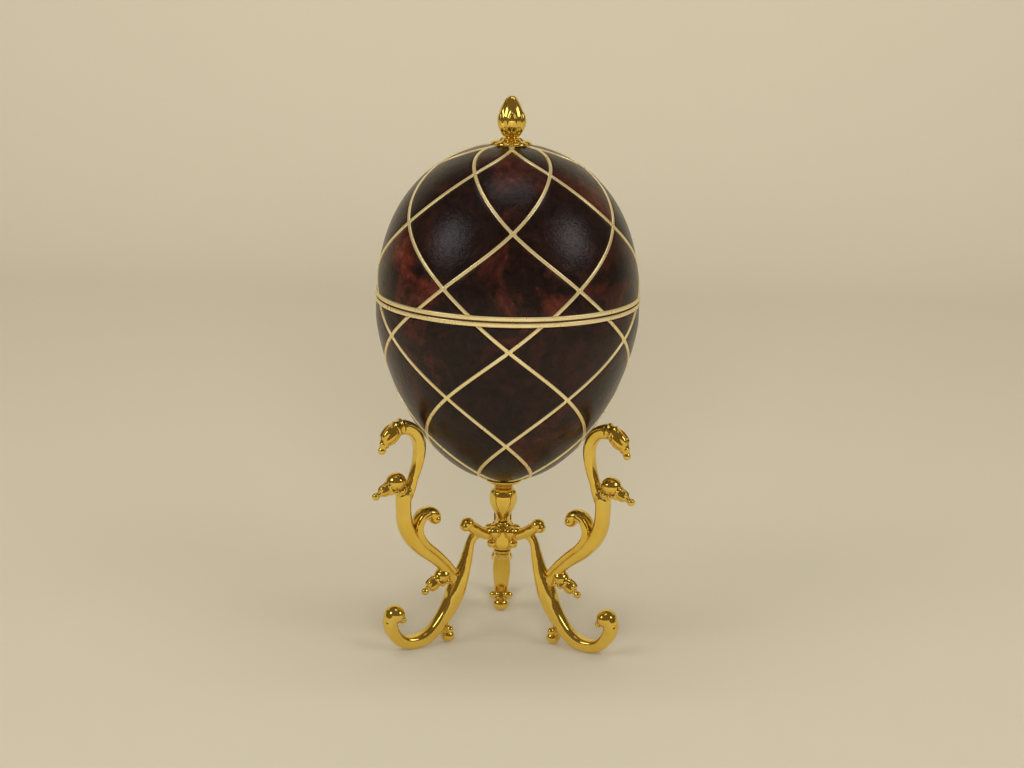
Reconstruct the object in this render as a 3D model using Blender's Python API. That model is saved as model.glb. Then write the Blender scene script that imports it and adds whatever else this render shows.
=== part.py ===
"""An egg-shaped box with a lift-off lid, on a cast tripod stand.

The shell is a composite core under a dark shell veneer, with a net of flat brass strips over
the veneer's joints. All heights are millimetres above the floor and all radii are from the egg's axis.
"""

import math

import bmesh
import bpy
import numpy as np

MM = 0.001
WELD = 1e-7
GAP = 0.3

# The egg's outline: widest radius and height, and how far it goes up and down from there.
EGG_RADIUS = 82.5
EGG_WIDEST_Z = 211.7
EGG_RISE = 107.6
EGG_DROP = 106.8
UPPER_POWERS = (2.575, 2.0)
LOWER_POWERS = (1.437, 2.128)
MERIDIAN_STEPS = 1200

# Layers of the shell, as depths below the outline: brass strips, veneer and core.
STRIP_LAYER = (-0.2, 0.4)
VENEER_LAYER = (1.0, 2.5)
CORE_LAYER = (2.5 + GAP, 6.5)

# Seam between lid and base, with a brass band on each side of it.
SEAM_Z = 224.3
SEAM_HALF_GAP = 0.5
BAND_HEIGHT = 2.7
BAND_RADIUS = 82.75
BAND_LEDGE_RADIUS = 80.8
RIM_BORE = 76.6
LIP_RADIUS = 75.6
LIP_THICKNESS = 1.8
LIP_BELOW = 9.0
LIP_ABOVE = 6.5
LIP_SHOULDER = 3.0
LIP_TAPER = 1.0

# Net of strips: the distances down the shell from its top at which strips cross.
STRIP_WIDTH = 2.4
CROSSINGS = (15.9, 47.9, 88.5, 123.6, 159.2, 193.5, 229.0, 264.5)
STRIPS_EACH_WAY = 6
NET_TOP_LEVEL = -0.13
NET_BOTTOM_LEVEL = 7.55
ROWS_PER_LEVEL = 3
PARTING_STEPS = 12
SNAP = 0.012

# The lid sits a little turned against the base, and the base against the stand.
LID_TURN = 1.6
BASE_TURN = 0.8

# Fixings through the shell's two poles.
STUD_RADIUS = 2.2
BORE_RADIUS = 2.7
VENEER_HOLE = 4.2
CORE_HOLE = 3.0
WASHER_RADIUS = 8.0
NUT_RADIUS = 4.8
WASHER_SPAN = (GAP, 1.8)
NUT_SPAN = (2.1, 6.1)
STUD_TAIL = 8.5
TIE_ROD_BELOW_HUB = 4.2
BUD_BORE_TOP = 334.0

# Stand.
HUB_BOTTOM = 57.0
HUB_TOP = 76.0
HUB_FLAT = 8.6
HUB_LOBES = 6
HUB_LOBE_SWELL = 0.09
HUB_PLAIN_RADIUS = 5.0
LEG_WIDEN = 1.13
LEG_ROOT = HUB_FLAT + GAP
LEG_AZIMUTHS = {"leg_rear": 90, "leg_front_left": 210, "leg_front_right": 330}
LEG_STUD_Z = 69.5
LEG_STUD_RADIUS = 1.2
LEG_STUD_HALF = 5.0

# Bars of one leg in its own plane: (distance from the axis, height, half thickness).
LEG_BARS = {
    "shank": (
        (6.5, 69.5, 3.6), (14, 70.2, 3.0), (20, 69.6, 2.9), (23.6, 65, 2.5), (25.6, 57.5, 3.1),
        (27.8, 49.5, 3.8), (31, 41.5, 4.9), (34.2, 33.5, 5.5), (37.6, 25.5, 5.0), (43.5, 16.6, 4.4),
        (50.5, 8.9, 4.2), (58.5, 3.7, 4.4), (67.5, 3.1, 4.1), (74.6, 7.4, 4.0), (79.4, 14.6, 4.1),
        (80.6, 20.0, 4.4),
    ),
    "stem": (
        (33, 38, 3.0), (38.5, 46.4, 3.6), (44.6, 53.6, 3.7), (52, 60, 3.9), (60, 66.6, 4.3),
        (67, 75, 4.5), (70.8, 84, 4.5), (71.9, 93, 4.3), (71.8, 102, 4.4), (70.8, 108, 3.9),
    ),
    "upper_scroll": (
        (70.2, 99, 2.9), (67.4, 107, 3.1), (65.4, 113.5, 2.9), (63.2, 119.5, 3.1),
        (61.5, 127, 3.4), (61.1, 134.5, 3.5), (63.2, 141, 3.5), (67.4, 145.6, 3.6),
        (72.5, 147.4, 4.1), (77.2, 146.8, 5.2), (81.6, 143.4, 5.7), (85, 138.6, 4.4),
        (87, 134.6, 2.2),
    ),
    "upper_bead": ((87.2, 134.0, 1.3), (87.6, 132.2, 2.0), (87.7, 130.8, 1.3)),
    "middle_head": (
        (69.5, 109.5, 3.5), (74, 111.6, 5.1), (79, 111.6, 5.5), (84, 109.8, 4.4), (88.5, 107.8, 2.4),
        (90.5, 107, 1.6),
    ),
    "middle_bead": ((90.2, 107.0, 1.3), (92.0, 106.6, 1.9), (93.6, 106.2, 1.3)),
    "inner_scroll": (
        (58.5, 68, 2.2), (62.4, 75, 2.7), (63.4, 82, 2.8), (60.8, 88.2, 3.3), (56, 90.4, 3.8),
        (51.2, 89, 4.5), (48.2, 86.2, 3.9), (46.2, 84.6, 2.4),
    ),
    "lower_head": (
        (37.5, 44, 3.5), (43, 45.2, 4.7), (48, 43.8, 4.7), (52, 41, 3.7), (55, 38, 2.2),
    ),
    "lower_bead": ((54.9, 38.2, 1.2), (56.2, 36.8, 1.8), (57.4, 35.4, 1.2)),
    "hub_scroll": ((17, 69, 2.6), (21.5, 74, 3.4), (25.4, 77.6, 3.3), (29.2, 79.4, 3.2), (31, 80, 2.2)),
    "foot_knob": ((80.4, 16.5, 3.4), (79.4, 20.6, 5.0), (78.8, 24.0, 5.2), (78.4, 27.6, 3.7)),
    "heel_neck": ((44.5, 15.5, 2.5), (41.6, 9.4, 2.4), (39.6, 5.6, 2.5)),
    "heel_knob": ((39.9, 8.0, 2.9), (39.4, 4.3, 4.2), (39.1, 1.2, 3.5)),
}
LEG_REACH = 94.4
RING_SPACING = 8.0
BAR_SIDES = 8
BAR_END_REACH = 0.55
BAR_END_SIZE = 0.62
BORE_SIDES = 10

SHELL_SEGMENTS = 36
SMALL_SEGMENTS = 20
SHELL_ROW = 19.0

# The axis stands off the origin so that the origin is under the middle of the whole outline.
AXIS_Y = (BAND_RADIUS - LEG_REACH) / 2


def clear_scene():
    for item in list(bpy.data.objects):
        bpy.data.objects.remove(item, do_unlink=True)


def material(name, colour, roughness, metallic):
    made = bpy.data.materials.new(name)
    made.use_nodes = True
    shader = made.node_tree.nodes["Principled BSDF"]
    shader.inputs["Base Color"].default_value = (*colour, 1)
    shader.inputs["Roughness"].default_value = roughness
    shader.inputs["Metallic"].default_value = metallic
    return made


def make_materials():
    return {
        "cast_brass": material("cast_brass", (0.76, 0.52, 0.16), 0.18, 1),
        "inlay_brass": material("inlay_brass", (0.78, 0.6, 0.3), 0.28, 1),
        "pen_shell": material("pen_shell", (0.035, 0.014, 0.012), 0.12, 0),
        "composite": material("composite", (0.05, 0.045, 0.04), 0.6, 0),
        "fixing_steel": material("fixing_steel", (0.55, 0.55, 0.56), 0.35, 1),
    }


def empty(name, turn, parent=None):
    made = bpy.data.objects.new(name, None)
    made.empty_display_size = 20 * MM
    made.location = (0, 0 if parent else AXIS_Y * MM, 0)
    made.rotation_euler = (0, 0, math.radians(turn))
    made.parent = parent
    bpy.context.scene.collection.objects.link(made)
    return made


def add_object(name, mesh, finish, parent):
    made = bpy.data.objects.new(name, mesh)
    made.parent = parent
    if finish:
        mesh.materials.clear()
        mesh.materials.append(finish)
    bpy.context.scene.collection.objects.link(made)
    return made


def mesh_from(bm, name, sharp_angle=38):
    bmesh.ops.remove_doubles(bm, verts=bm.verts, dist=WELD)
    bmesh.ops.recalc_face_normals(bm, faces=bm.faces)
    mesh = bpy.data.meshes.new(name)
    bm.to_mesh(mesh)
    bm.free()
    mesh.shade_smooth()
    mesh.set_sharp_from_angle(angle=math.radians(sharp_angle))
    return mesh


def egg_radius(z):
    drop, (bulge, root) = EGG_DROP, LOWER_POWERS
    if z > EGG_WIDEST_Z:
        drop, (bulge, root) = EGG_RISE, UPPER_POWERS
    share = min(1.0, abs(z - EGG_WIDEST_Z) / drop)
    return EGG_RADIUS * (1 - share**bulge) ** (1 / root)


def trace_meridian():
    """Distance from the top pole, radius and height, along the outline from pole to pole."""
    turn = np.linspace(0, math.pi, MERIDIAN_STEPS)
    half = np.where(turn < math.pi / 2, EGG_RISE, EGG_DROP)
    height = EGG_WIDEST_Z + half * np.cos(turn)
    radius = np.array([egg_radius(z) for z in height])
    steps = np.hypot(np.diff(radius), np.diff(height))
    return np.concatenate([[0], np.cumsum(steps)]), radius, height


MERIDIAN = trace_meridian()


def on_outline(distance, depth=0.0):
    """(radius, height) at this distance from the top pole, depth below the surface."""
    along, radius, height = MERIDIAN
    distance = min(max(distance, 0.0), float(along[-1]))
    step = 0.5
    ends = np.clip([distance - step, distance + step], 0, along[-1])
    d_radius = np.diff(np.interp(ends, along, radius))[0]
    d_height = np.diff(np.interp(ends, along, height))[0]
    length = math.hypot(d_radius, d_height)
    r = np.interp(distance, along, radius) + depth * d_height / length
    z = np.interp(distance, along, height) - depth * d_radius / length
    return max(float(r), 0.0), float(z)


def distance_at_height(z):
    along, _, height = MERIDIAN
    return float(np.interp(-z, -height, along))


def distance_at_radius(r, lower=False):
    along, radius, height = MERIDIAN
    side = height < EGG_WIDEST_Z if lower else height > EGG_WIDEST_Z
    order = np.argsort(radius[side])
    return float(np.interp(r, radius[side][order], along[side][order]))


def shell_outline(rows, outer, inner):
    """A shell layer's cross-section through these distances down the outline."""
    outside = [on_outline(row, outer) for row in rows]
    inside = [on_outline(row, inner) for row in rows[::-1]]
    return outside + inside


def turned(name, outline, finish, parent, segments=SMALL_SEGMENTS):
    """A solid turned round the axis. An outline that starts off the axis closes on itself."""
    bm = bmesh.new()
    points = [bm.verts.new((r * MM, 0, z * MM)) for r, z in outline]
    pairs = list(zip(points, points[1:]))
    if outline[0][0] > 0:
        pairs.append((points[-1], points[0]))
    edges = [bm.edges.new(pair) for pair in pairs]
    bmesh.ops.spin(
        bm, geom=points + edges, cent=(0, 0, 0), axis=(0, 0, 1), angle=2 * math.pi, steps=segments
    )
    return add_object(name, mesh_from(bm, name), finish, parent)


def boolean(target, tool, operation):
    tool.hide_render = True
    tool.display_type = "WIRE"
    made = target.modifiers.new(f"{operation.lower()} {tool.name}", "BOOLEAN")
    made.operation = operation
    made.solver = "EXACT"
    made.object = tool


def smooth_curve(points, count):
    """count places along a Catmull-Rom curve through the points."""
    points = np.asarray(points, float)
    padded = np.vstack([2 * points[0] - points[1], points, 2 * points[-1] - points[-2]])
    places = np.linspace(0, len(points) - 1, count)
    return np.array([curve_point(padded, place) for place in places])


def curve_point(padded, place):
    """The point at this place, where padded holds one extra point before place 0."""
    first = int(min(max(math.floor(place), 0), len(padded) - 4))
    t = place - first
    a, b, c, d = padded[first : first + 4]
    return b + 0.5 * t * (c - a + t * (2 * a - 5 * b + 4 * c - d + t * (3 * (b - c) + d - a)))


def crossing_distance(level):
    """Distance down the shell of a level of the net; strips cross at the whole numbers."""
    levels = np.asarray(CROSSINGS)
    if level < 0 or level > len(levels) - 1:
        end, slope = (0, levels[1] - levels[0]) if level < 0 else (-1, levels[-1] - levels[-2])
        return float(levels[end] + slope * (level - (0 if level < 0 else len(levels) - 1)))
    padded = np.concatenate([[2 * levels[0] - levels[1]], levels, [2 * levels[-1] - levels[-2]]])
    return float(curve_point(padded[:, None], level)[0])


def level_at_distance(distance):
    trial = np.linspace(-0.4, len(CROSSINGS), 900)
    return float(np.interp(distance, [crossing_distance(level) for level in trial], trial))


def strip_half_width(level):
    """Half a strip's width at this level, as a share of half a repeat."""
    r, _ = on_outline(crossing_distance(level))
    across = max(r, STRIP_WIDTH) * math.pi / STRIPS_EACH_WAY
    down = (crossing_distance(level + 0.02) - crossing_distance(level - 0.02)) / 0.04
    return STRIP_WIDTH / 2 * math.hypot(1 / across, 1 / down)


def strip_span(level):
    """Where a strip lies at this level in one half repeat, from 0 to 1 across the half."""
    half = strip_half_width(level)
    middle = abs((level + 1) % 2 - 1)
    low, high = middle - half, middle + half
    return (0.0 if low < SNAP else low), (1.0 if high > 1 - SNAP else high)


def parting_level(crossing, side):
    """Level at which two strips part, above (-1) or below (1) their crossing."""
    offset = 0.0
    for _ in range(PARTING_STEPS):
        offset = strip_half_width(crossing + side * offset)
    return crossing + side * offset


def net_levels(top, bottom):
    """Levels of the net's rows: even steps, and both sides of each crossing."""
    levels = {top, bottom}
    for crossing in range(max(0, math.floor(top)), math.floor(bottom) + 1):
        levels |= {parting_level(crossing, -1), crossing, parting_level(crossing, 1)}
        levels |= {crossing + step / ROWS_PER_LEVEL for step in range(1, ROWS_PER_LEVEL)}
    return sorted(level for level in levels if top <= level <= bottom)


def net_mesh(name, top, bottom):
    """The crossing strips as one closed net, built a half repeat at a time."""
    bm = bmesh.new()
    outer, inner = STRIP_LAYER
    rows = net_levels(top, bottom)
    spans = [strip_span(level) for level in rows]
    for half in range(2 * STRIPS_EACH_WAY):
        middle = -math.pi / 2 + 2 * math.pi / STRIPS_EACH_WAY * (half // 2)
        side = math.pi / STRIPS_EACH_WAY * (1 if half % 2 else -1)
        loops = []
        for level, (low, high) in zip(rows, spans):
            distance = crossing_distance(level)
            corners = ((low, outer), (high, outer), (high, inner), (low, inner))
            places = [net_point(distance, middle + side * share, depth) for share, depth in corners]
            loops.append([bm.verts.new(place) for place in places])
        for row in range(len(rows) - 1):
            add_net_faces(bm, loops[row : row + 2], spans[row : row + 2])
        bm.faces.new(loops[0])
        bm.faces.new(loops[-1][::-1])
    return mesh_from(bm, name)


def net_point(distance, azimuth, depth):
    r, z = on_outline(distance, depth)
    return r * MM * math.cos(azimuth), r * MM * math.sin(azimuth), z * MM


def add_net_faces(bm, loops, spans):
    """Outer and inner faces of one strip step, and its side walls where it has any."""
    upper, lower = loops
    low, high = zip(*spans)
    joined = {1: high == (1.0, 1.0), 3: low == (0.0, 0.0)}
    for corner in range(4):
        if not joined.get(corner, False):
            following = (corner + 1) % 4
            bm.faces.new((upper[corner], lower[corner], lower[following], upper[following]))


def seat_height(rows, radius):
    """Height of the core's inner face at this radius, as its flat rows leave it."""
    inside = sorted(on_outline(row, CORE_LAYER[1]) for row in rows)
    return float(np.interp(radius, *zip(*inside)))


def make_shell_half(side, edge, levels, finishes, parent):
    """Core, veneer and strip net of the lid or the base; returns the height of the washer's seat."""
    below = side == "base"
    veneer_hole = distance_at_radius(VENEER_HOLE, below)
    count = math.ceil(abs(edge - veneer_hole) / SHELL_ROW) + 1
    rows = np.linspace(min(edge, veneer_hole), max(edge, veneer_hole), count)
    core_rows = sorted([*rows, distance_at_radius(CORE_HOLE, below)])
    core = shell_outline(core_rows, *CORE_LAYER)
    turned(f"{side}_core", core, finishes["composite"], parent, SHELL_SEGMENTS)
    skin = shell_outline(rows, *VENEER_LAYER)
    turned(f"{side}_veneer", skin, finishes["pen_shell"], parent, SHELL_SEGMENTS)
    net = net_mesh(f"{side}_inlay", *levels)
    add_object(f"{side}_inlay", net, finishes["inlay_brass"], parent)
    return seat_height(core_rows, WASHER_RADIUS)


def rim_outline(direction):
    """Cross-section of a rim band; direction is 1 above the seam and -1 below it."""
    def at(offset):
        return SEAM_Z + direction * offset

    ledge, band, back = GAP / 2, SEAM_HALF_GAP, SEAM_HALF_GAP + BAND_HEIGHT
    bore = RIM_BORE if direction > 0 else LIP_RADIUS + GAP
    return [
        (bore, at(ledge)), (BAND_LEDGE_RADIUS, at(ledge)), (BAND_LEDGE_RADIUS, at(band)),
        (BAND_RADIUS, at(band)), (BAND_RADIUS, at(back)), (bore, at(back)),
    ]


def make_lid(finishes, parent):
    edge = distance_at_height(SEAM_Z + SEAM_HALF_GAP + BAND_HEIGHT + GAP)
    levels = (NET_TOP_LEVEL, level_at_distance(edge))
    seat = make_shell_half("lid", edge, levels, finishes, parent)
    turned("lid_rim", rim_outline(1), finishes["inlay_brass"], parent, SHELL_SEGMENTS)
    return seat


def make_base(finishes, parent):
    edge = distance_at_height(SEAM_Z - SEAM_HALF_GAP - BAND_HEIGHT - GAP)
    levels = (level_at_distance(edge), NET_BOTTOM_LEVEL)
    seat = make_shell_half("base", edge, levels, finishes, parent)
    turned("base_rim", rim_outline(-1), finishes["inlay_brass"], parent, SHELL_SEGMENTS)
    bottom, top, shoulder = SEAM_Z - LIP_BELOW, SEAM_Z + LIP_ABOVE, SEAM_Z + LIP_SHOULDER
    inside = LIP_RADIUS - LIP_THICKNESS
    lip = [
        (inside, bottom), (LIP_RADIUS, bottom), (LIP_RADIUS, shoulder),
        (LIP_RADIUS - LIP_TAPER, top), (inside, top),
    ]
    turned("locating_lip", lip, finishes["inlay_brass"], parent, SHELL_SEGMENTS)
    return seat


def make_finial(seat, finishes, parent):
    """Bud on a petalled collar, held by a stud with a washer and nut inside the lid."""
    top = EGG_WIDEST_Z + EGG_RISE
    collar = [
        (BORE_RADIUS, top + 0.6), (7.0, top + 0.5), (11.6, top - 0.2), (12.2, top + 0.5),
        (11.4, top + 1.6), (8.2, top + 2.2), (5.4, top + 3.2), (BORE_RADIUS, top + 3.2),
    ]
    turned("finial_collar", collar, finishes["cast_brass"], parent)
    bud = [
        (0, 348.4), (2.6, 347.2), (5.0, 344.3), (7.4, 340.4), (9.0, 336.2), (9.0, 332.4),
        (7.6, 328.2), (5.2, 325.2), (4.2, top + 3.5), (BORE_RADIUS, top + 3.5),
        (BORE_RADIUS, BUD_BORE_TOP), (0, BUD_BORE_TOP),
    ]
    turned("finial_bud", bud, finishes["cast_brass"], parent)
    add_fixing("finial", seat, -1, BUD_BORE_TOP - GAP, finishes, parent)


def add_fixing(prefix, face, direction, stud_end, finishes, parent):
    """Stud, washer and hexagonal nut against a face; direction is where the nut lies from it."""
    def at(offset):
        return face + direction * offset

    steel = finishes["fixing_steel"]
    tail = at(STUD_TAIL)
    stud = [(0, tail), (STUD_RADIUS, tail), (STUD_RADIUS, stud_end), (0, stud_end)]
    turned(f"{prefix}_stud", stud, steel, parent, 12)
    pieces = (
        ("washer", WASHER_SPAN, WASHER_RADIUS, SMALL_SEGMENTS),
        ("nut", NUT_SPAN, NUT_RADIUS, 6),
    )
    for piece, (near, far), radius, sides in pieces:
        bore = (STUD_RADIUS + GAP) / math.cos(math.pi / sides)
        ring = [(bore, at(near)), (radius, at(near)), (radius, at(far)), (bore, at(far))]
        turned(f"{prefix}_{piece}", ring, steel, parent, sides)


def make_stem(seat, finishes, parent):
    """Flared cup, bud-shaped knop and lobed hub, threaded on one tie rod."""
    bottom = EGG_WIDEST_Z - EGG_DROP
    cup = [
        (BORE_RADIUS, bottom - 0.5), (6.0, bottom - 0.45), (11.4, bottom + 0.5), (12.2, bottom - 0.2),
        (11.2, bottom - 2.4), (8.0, bottom - 4.4), (5.8, bottom - 6.2), (BORE_RADIUS, bottom - 6.2),
    ]
    turned("base_cup", cup, finishes["cast_brass"], parent)
    top = bottom - 6.5
    knop = [
        (BORE_RADIUS, top), (5.6, top), (7.6, top - 2.6), (8.9, top - 6.2), (8.8, top - 9.4),
        (7.4, top - 13.6), (5.4, top - 17.6), (4.0, top - 20.4), (4.4, HUB_TOP + GAP),
        (BORE_RADIUS, HUB_TOP + GAP),
    ]
    turned("stem_knop", knop, finishes["cast_brass"], parent)
    add_fixing("tie_rod", seat, 1, HUB_BOTTOM - TIE_ROD_BELOW_HUB, finishes, parent)
    cap = [
        (0, HUB_BOTTOM - 7.6), (2.6, HUB_BOTTOM - 7.0), (4.6, HUB_BOTTOM - 4.8),
        (5.2, HUB_BOTTOM - 2.2), (6.0, HUB_BOTTOM - GAP), (BORE_RADIUS, HUB_BOTTOM - GAP),
        (BORE_RADIUS, HUB_BOTTOM - 4.6), (0, HUB_BOTTOM - 4.6),
    ]
    turned("hub_cap_nut", cap, finishes["cast_brass"], parent)


def make_hub(finishes, parent):
    """A turned boss with six lobes, cut flat where each leg's root seats."""
    outline = [
        (BORE_RADIUS, HUB_BOTTOM), (6.4, HUB_BOTTOM), (8.6, HUB_BOTTOM + 2), (9.6, HUB_BOTTOM + 5.5),
        (8.4, HUB_BOTTOM + 8), (9.4, HUB_BOTTOM + 11), (9.0, HUB_BOTTOM + 14.5),
        (6.2, HUB_BOTTOM + 17.5), (4.6, HUB_TOP), (BORE_RADIUS, HUB_TOP),
    ]
    hub = turned("hub", outline, finishes["cast_brass"], parent, SHELL_SEGMENTS)
    bm = bmesh.new()
    bm.from_mesh(hub.data)
    for vert in bm.verts:
        if math.hypot(vert.co.x, vert.co.y) > HUB_PLAIN_RADIUS * MM:
            swell = 1 + HUB_LOBE_SWELL * math.cos(HUB_LOBES * math.atan2(vert.co.y, vert.co.x))
            vert.co.x *= swell
            vert.co.y *= swell
    for azimuth in LEG_AZIMUTHS.values():
        slice_off(bm, HUB_FLAT, azimuth)
    bm.to_mesh(hub.data)
    bm.free()
    bore = stud_mesh("leg_bore", LEG_STUD_RADIUS + GAP, LEG_STUD_HALF + GAP)
    bores = {}
    for name, azimuth in LEG_AZIMUTHS.items():
        bores[name] = place_stud(f"{name}_bore", bore, azimuth, None, parent)
        boolean(hub, bores[name], "DIFFERENCE")
    return bores


def slice_off(bm, reach, azimuth):
    """Removes what lies past a vertical plane at this distance from the axis and caps it."""
    normal = (math.cos(math.radians(azimuth)), math.sin(math.radians(azimuth)), 0)
    cut_and_cap(bm, [reach * MM * part for part in normal], normal)


def cut_and_cap(bm, point, normal):
    geometry = list(bm.verts) + list(bm.edges) + list(bm.faces)
    cut = bmesh.ops.bisect_plane(bm, geom=geometry, plane_co=point, plane_no=normal, clear_outer=True)
    edges = [item for item in cut["geom_cut"] if isinstance(item, bmesh.types.BMEdge)]
    bmesh.ops.holes_fill(bm, edges=edges)


def stud_mesh(name, radius, half_length):
    bm = bmesh.new()
    bmesh.ops.create_cone(
        bm, cap_ends=True, segments=BORE_SIDES, radius1=radius * MM, radius2=radius * MM,
        depth=2 * half_length * MM,
    )
    return mesh_from(bm, name)


def place_stud(name, mesh, azimuth, finish, parent):
    """Lays a stud along a leg's direction, half in the hub and half in the leg's root."""
    made = add_object(name, mesh, finish, parent)
    turn = math.radians(azimuth)
    reach = (HUB_FLAT + GAP / 2) * MM
    made.location = (reach * math.cos(turn), reach * math.sin(turn), LEG_STUD_Z * MM)
    made.rotation_euler = (0, math.pi / 2, turn)
    return made


def bar_mesh(name, points):
    """A bar swept along its centre line, with an oval section and rounded ends."""
    points = np.asarray(points, float)
    length = np.hypot(*np.diff(points[:, :2], axis=0).T).sum()
    count = max(len(points), math.ceil(length / RING_SPACING) + 1)
    line = smooth_curve(points, count)
    tangent = np.gradient(line[:, :2], axis=0)
    tangent /= np.linalg.norm(tangent, axis=1)[:, None]
    ends = []
    for row, sign in ((0, -1), (-1, 1)):
        reach = line[row, :2] + sign * BAR_END_REACH * line[row, 2] * tangent[row]
        ends.append((*reach, BAR_END_SIZE * line[row, 2]))
    line = np.vstack([ends[0], line, ends[1]])
    tangent = np.vstack([tangent[0], tangent, tangent[-1]])
    bm = bmesh.new()
    rings = [add_ring(bm, place, along) for place, along in zip(line, tangent)]
    for first, second in zip(rings, rings[1:]):
        for side in range(BAR_SIDES):
            following = (side + 1) % BAR_SIDES
            bm.faces.new((first[side], second[side], second[following], first[following]))
    bm.faces.new(rings[0])
    bm.faces.new(rings[-1][::-1])
    return mesh_from(bm, name)


def add_ring(bm, place, along):
    """One oval ring of a bar, wider across the leg's plane than in it."""
    reach, height, half = place
    ring = []
    for side in range(BAR_SIDES):
        turn = 2 * math.pi * (side + 0.5) / BAR_SIDES
        inward = half * math.cos(turn)
        across = half * LEG_WIDEN * math.sin(turn)
        x, z = reach - along[1] * inward, height + along[0] * inward
        ring.append(bm.verts.new((x * MM, across * MM, z * MM)))
    return ring


def leg_mesh():
    """One leg along +X: its bars joined into one casting, flat underfoot and at the hub."""
    bars = [add_object(name, bar_mesh(name, points), None, None) for name, points in LEG_BARS.items()]
    for bar in bars[1:]:
        boolean(bars[0], bar, "UNION")
    graph = bpy.context.evaluated_depsgraph_get()
    mesh = bpy.data.meshes.new_from_object(bars[0].evaluated_get(graph))
    mesh.name = "leg"
    for bar in bars:
        bpy.data.objects.remove(bar)
    bm = bmesh.new()
    bm.from_mesh(mesh)
    cut_and_cap(bm, (LEG_ROOT * MM, 0, 0), (-1, 0, 0))
    cut_and_cap(bm, (0, 0, 0), (0, 0, -1))
    bm.to_mesh(mesh)
    bm.free()
    mesh.shade_smooth()
    mesh.set_sharp_from_angle(angle=math.radians(50))
    return mesh


def make_legs(bores, finishes, parent):
    mesh = leg_mesh()
    stud = stud_mesh("leg_stud", LEG_STUD_RADIUS, LEG_STUD_HALF)
    for name, azimuth in LEG_AZIMUTHS.items():
        leg = add_object(name, mesh, finishes["cast_brass"], parent)
        leg.rotation_euler = (0, 0, math.radians(azimuth))
        boolean(leg, bores[name], "DIFFERENCE")
        place_stud(name.replace("leg", "leg_stud"), stud, azimuth, finishes["fixing_steel"], parent)


def main():
    clear_scene()
    finishes = make_materials()
    stand = empty("stand_axis", 0)
    base = empty("base_axis", BASE_TURN, stand)
    lid = empty("lid_axis", LID_TURN, stand)
    make_finial(make_lid(finishes, lid), finishes, lid)
    make_stem(make_base(finishes, base), finishes, stand)
    bores = make_hub(finishes, stand)
    make_legs(bores, finishes, stand)


main()
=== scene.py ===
import math

import bmesh
import bpy
import numpy as np
from mathutils import Matrix, Vector


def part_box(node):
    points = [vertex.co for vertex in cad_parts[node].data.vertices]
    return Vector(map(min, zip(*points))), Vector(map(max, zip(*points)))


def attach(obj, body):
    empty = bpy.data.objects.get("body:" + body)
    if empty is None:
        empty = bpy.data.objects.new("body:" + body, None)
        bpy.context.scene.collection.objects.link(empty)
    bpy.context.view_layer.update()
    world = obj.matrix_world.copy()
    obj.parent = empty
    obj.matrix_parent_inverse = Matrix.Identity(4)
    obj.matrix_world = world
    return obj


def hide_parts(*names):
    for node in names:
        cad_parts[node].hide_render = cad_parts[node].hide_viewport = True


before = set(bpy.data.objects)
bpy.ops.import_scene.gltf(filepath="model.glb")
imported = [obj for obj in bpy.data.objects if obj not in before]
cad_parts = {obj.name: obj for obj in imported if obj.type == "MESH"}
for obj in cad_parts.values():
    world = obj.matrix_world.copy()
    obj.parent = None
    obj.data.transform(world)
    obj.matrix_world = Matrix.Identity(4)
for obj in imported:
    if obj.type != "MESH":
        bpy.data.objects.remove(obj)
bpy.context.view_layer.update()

# Lengths are millimetres from the egg's axis and above the floor, unless a name says otherwise.
MM = 0.001
FRONT = -math.pi / 2

# The axis and the main heights, read from the frame.
AXIS = (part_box("base_rim")[0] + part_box("base_rim")[1]) / 2
SEAM_Z = (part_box("base_rim")[1].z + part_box("lid_rim")[0].z) / 2 / MM
HUB_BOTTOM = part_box("hub")[0].z / MM
HUB_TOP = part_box("hub")[1].z / MM
BUD_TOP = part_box("finial_bud")[1].z / MM

# The egg's outline, and where its layers lie as depths below it. The outline's upper and lower
# halves each have two powers: (how full the bulge is, how blunt the pole is).
EGG_RADIUS = 82.5
EGG_WIDEST_Z = 211.7
EGG_RISE = 107.6
EGG_DROP = 106.8
UPPER_POWERS = (2.575, 2.0)
LOWER_POWERS = (1.437, 2.128)
TILE_DEPTH = 0.1
TILE_BACK = 2.5
TILE_PILLOW = 0.32
TILE_PILLOW_REACH = 0.55
CORE_LAYER = (2.8, 6.5)
STRIP_TOP = -0.25
STRIP_FOOT = 0.55
STRIP_THICKNESS = 0.6
LID_TURN = 1.6
BASE_TURN = 0.8

# The net of strips: distances down the shell at which strips cross.
STRIP_WIDTH = 2.45
CROSSINGS = (15.9, 47.9, 88.5, 123.6, 159.2, 193.5, 229.0, 264.5)
REPEATS = 6
TILE_SEED = 306227
TILE_ROWS = 64
NET_TOP_LEVEL = -0.13
NET_BOTTOM_LEVEL = 7.55

# Bands each side of the seam, and the lip inside them.
BAND_HALF_GAP = 0.5
BAND_HEIGHT = 2.7
BAND_RADIUS = 82.7
LEDGE_RADIUS = 80.8
LEDGE_HALF_GAP = 0.15
RIM_BORE = 76.6
LIP_RADIUS = 75.6
LIP_THICKNESS = 1.8
LIP_GAP = 0.3

# Holes along the axis: through the turned brass, the shell and the core.
STUD_BORE = 2.7
TILE_HOLE = 4.4
CORE_HOLE = 3.2
SEAT_GAP = 0.3

# Spacing and counts of the finest grids.
ROW_SPACING = 0.9
TILE_COLUMNS = 432
TILE_BACK_ROWS = 24
STRIP_COLUMNS = 9

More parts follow.
